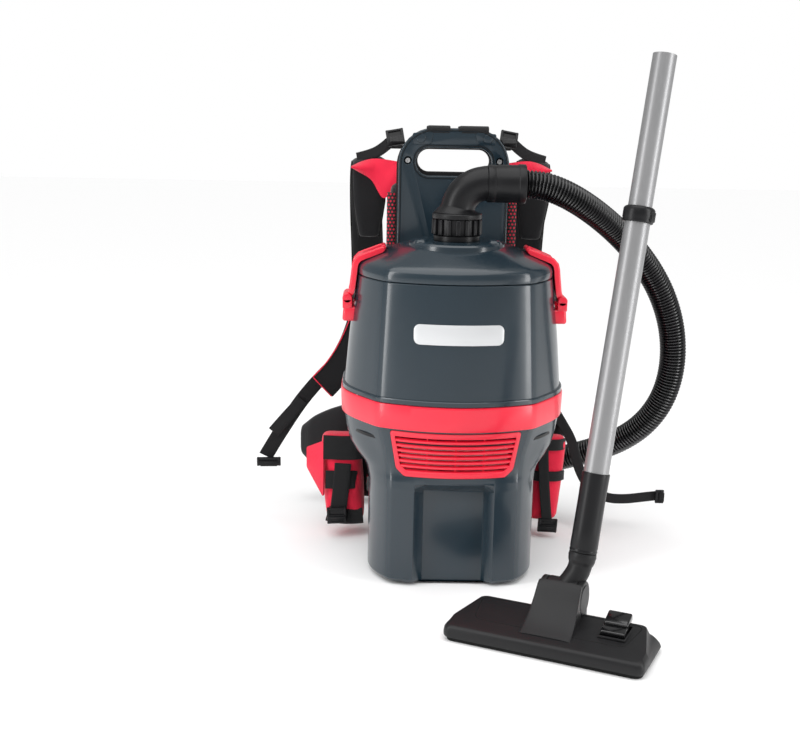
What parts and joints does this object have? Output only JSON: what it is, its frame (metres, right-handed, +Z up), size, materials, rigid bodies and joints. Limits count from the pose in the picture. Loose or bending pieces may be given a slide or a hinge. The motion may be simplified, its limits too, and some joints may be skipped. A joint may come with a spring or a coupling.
{
  "type": "backpack vacuum cleaner",
  "caption": "Battery backpack vacuum: moulded canister on a back frame with padded harness, latched domed lid, ribbed hose, telescopic wand and combination floor tool.",
  "frame": {"origin": "on the floor, under the middle of the pack's body", "axes": "-Y is the pack's front, +Y the wearer's side, +X to the right seen from the front, +Z up"},
  "size_m": [0.6588, 0.7055, 0.7212],
  "materials": {
    "slate_gloss": "gloss",
    "red_gloss": "gloss",
    "black_satin": "satin",
    "black_gloss": "gloss",
    "hose_black": "gloss",
    "tube_silver": "satin",
    "fabric_black": "woven",
    "fabric_red": "woven",
    "webbing_black": "woven",
    "steel": "brushed",
    "tool_black": "satin",
    "rubber_black": "matte",
    "filter_cloth": "felt",
    "bag_paper": "matte",
    "badge_silver": "satin",
    "circuit": "satin"
  },
  "bodies": {
    "pack": {"back_frame": "slate_gloss", "back_pad": "fabric_black", "badge_plate": "badge_silver", "base_feet": "rubber_black", "battery_bay": "black_satin", "bumper_band": "red_gloss", "canister": "slate_gloss", "control_board": "circuit", "dust_bag": "bag_paper", "exhaust_filter": "filter_cloth", "exhaust_grille": "red_gloss", "fan_case": "black_satin", "fan_motor": "steel", "filter_basket": "filter_cloth", "frame_screws": "steel", "frame_wraps": "webbing_black", "hip_panel_right": "fabric_red", "hip_pouch_left": "fabric_red", "hose": "hose_black", "hose_end_cuff": "black_satin", "hose_handle": "black_satin", "latch_hinges": "red_gloss", "lifter_buckles": "black_satin", "lifter_webbing": "webbing_black", "lower_housing": "slate_gloss", "motor_deck": "black_satin", "motor_gasket": "rubber_black", "motor_mounts": "rubber_black", "rear_trim": "black_satin", "shoulder_strap_left": "fabric_black", "shoulder_strap_right": "fabric_black", "strap_buckles": "black_satin", "strap_webbing_left": "webbing_black", "strap_webbing_right": "webbing_black", "waist_belt_left": "fabric_black", "waist_belt_right": "fabric_black"},
    "lid": {"lid": "slate_gloss", "lid_seal": "rubber_black", "inlet_neck": "black_satin", "elbow": "black_satin", "hose_cuff": "black_satin"},
    "collar": {"collar_nut": "black_gloss"},
    "latch_left": {"latch_left": "red_gloss"},
    "latch_right": {"latch_right": "red_gloss"},
    "battery": {"battery_pack": "black_satin"},
    "battery_button": {"battery_release": "red_gloss"},
    "power_rocker": {"power_switch": "black_gloss"},
    "fan_wheel": {"impeller": "black_satin"},
    "wand": {"tool_cuff": "tool_black", "lower_tube": "tube_silver", "tube_ring": "black_satin"},
    "wand_upper": {"upper_tube": "tube_silver"},
    "tool_neck": {"neck_elbow": "tool_black"},
    "floor_tool": {"tool_body": "tool_black", "tool_cover": "tool_black", "sole_plate": "tool_black"},
    "tool_pedal": {"pedal": "tool_black"},
    "tool_brush": {"brush_strips": "fabric_black"},
    "left_wheel": {"wheel_left": "rubber_black"},
    "right_wheel": {"wheel_right": "rubber_black"}
  },
  "joints": [
    {"name": "lid_lift", "type": "slide", "parent": "pack", "child": "lid", "axis": [0, 0, 1], "range_m": [0, 0.06]},
    {"name": "latch_left_swing", "type": "hinge", "parent": "pack", "child": "latch_left", "pos_m": [-0.1505, 0.008, 0.387], "axis": [0, -1, 0], "range_deg": [0, 110]},
    {"name": "latch_right_swing", "type": "hinge", "parent": "pack", "child": "latch_right", "pos_m": [0.1505, 0.008, 0.387], "axis": [0, 1, 0], "range_deg": [0, 110]},
    {"name": "collar_turn", "type": "hinge", "parent": "lid", "child": "collar", "pos_m": [0, -0.005, 0.49], "axis": [0, 0, 1], "range_deg": [0, 90]},
    {"name": "battery_slide", "type": "slide", "parent": "pack", "child": "battery", "axis": [1, 0, 0], "range_m": [0, 0.17]},
    {"name": "battery_release_press", "type": "slide", "parent": "pack", "child": "battery_button", "axis": [-1, 0, 0], "range_m": [0, 0.003], "stiffness_N_per_m": 300},
    {"name": "power_rock", "type": "hinge", "parent": "pack", "child": "power_rocker", "pos_m": [-0.115, 0.018, 0.11], "axis": [0, 1, 0], "range_deg": [-7, 7]},
    {"name": "fan_spin", "type": "hinge", "parent": "pack", "child": "fan_wheel", "pos_m": [0, -0.005, 0.16], "axis": [0, 0, 1], "continuous": true},
    {"name": "wand_lift", "type": "slide", "parent": "pack", "child": "wand", "axis": [0, 0, 1], "range_m": [0, 0.3]},
    {"name": "telescope", "type": "slide", "parent": "wand", "child": "wand_upper", "axis": [0.1387, 0.1594, 0.9774], "range_m": [-0.2, 0]},
    {"name": "neck_swivel", "type": "hinge", "parent": "wand", "child": "tool_neck", "pos_m": [0.155, -0.25, 0.105], "axis": [0.1387, 0.1594, 0.9774], "range_deg": [-90, 90]},
    {"name": "tool_tilt", "type": "hinge", "parent": "tool_neck", "child": "floor_tool", "pos_m": [0.13087, -0.2591, 0.05], "axis": [0.9, -0.436, 0], "range_deg": [-12, 60]},
    {"name": "pedal_rock", "type": "hinge", "parent": "floor_tool", "child": "tool_pedal", "pos_m": [0.19154, -0.31738, 0.028], "axis": [0.9, -0.436, 0], "range_deg": [0, 8]},
    {"name": "brush_drop", "type": "slide", "parent": "floor_tool", "child": "tool_brush", "axis": [0, 0, -1], "range_m": [0, 0.004]},
    {"name": "left_wheel_roll", "type": "hinge", "parent": "floor_tool", "child": "left_wheel", "pos_m": [0.04448, -0.21725, 0.01], "axis": [0.9, -0.436, 0], "continuous": true},
    {"name": "right_wheel_roll", "type": "hinge", "parent": "floor_tool", "child": "right_wheel", "pos_m": [0.21727, -0.30096, 0.01], "axis": [0.9, -0.436, 0], "continuous": true}
  ],
  "couplings": [
    {"joint": "latch_left_swing", "follows": "lid_lift", "rad_per_m": 31.416},
    {"joint": "latch_right_swing", "follows": "lid_lift", "rad_per_m": 31.416},
    {"joint": "brush_drop", "follows": "pedal_rock", "m_per_rad": 0.02829}
  ]
}
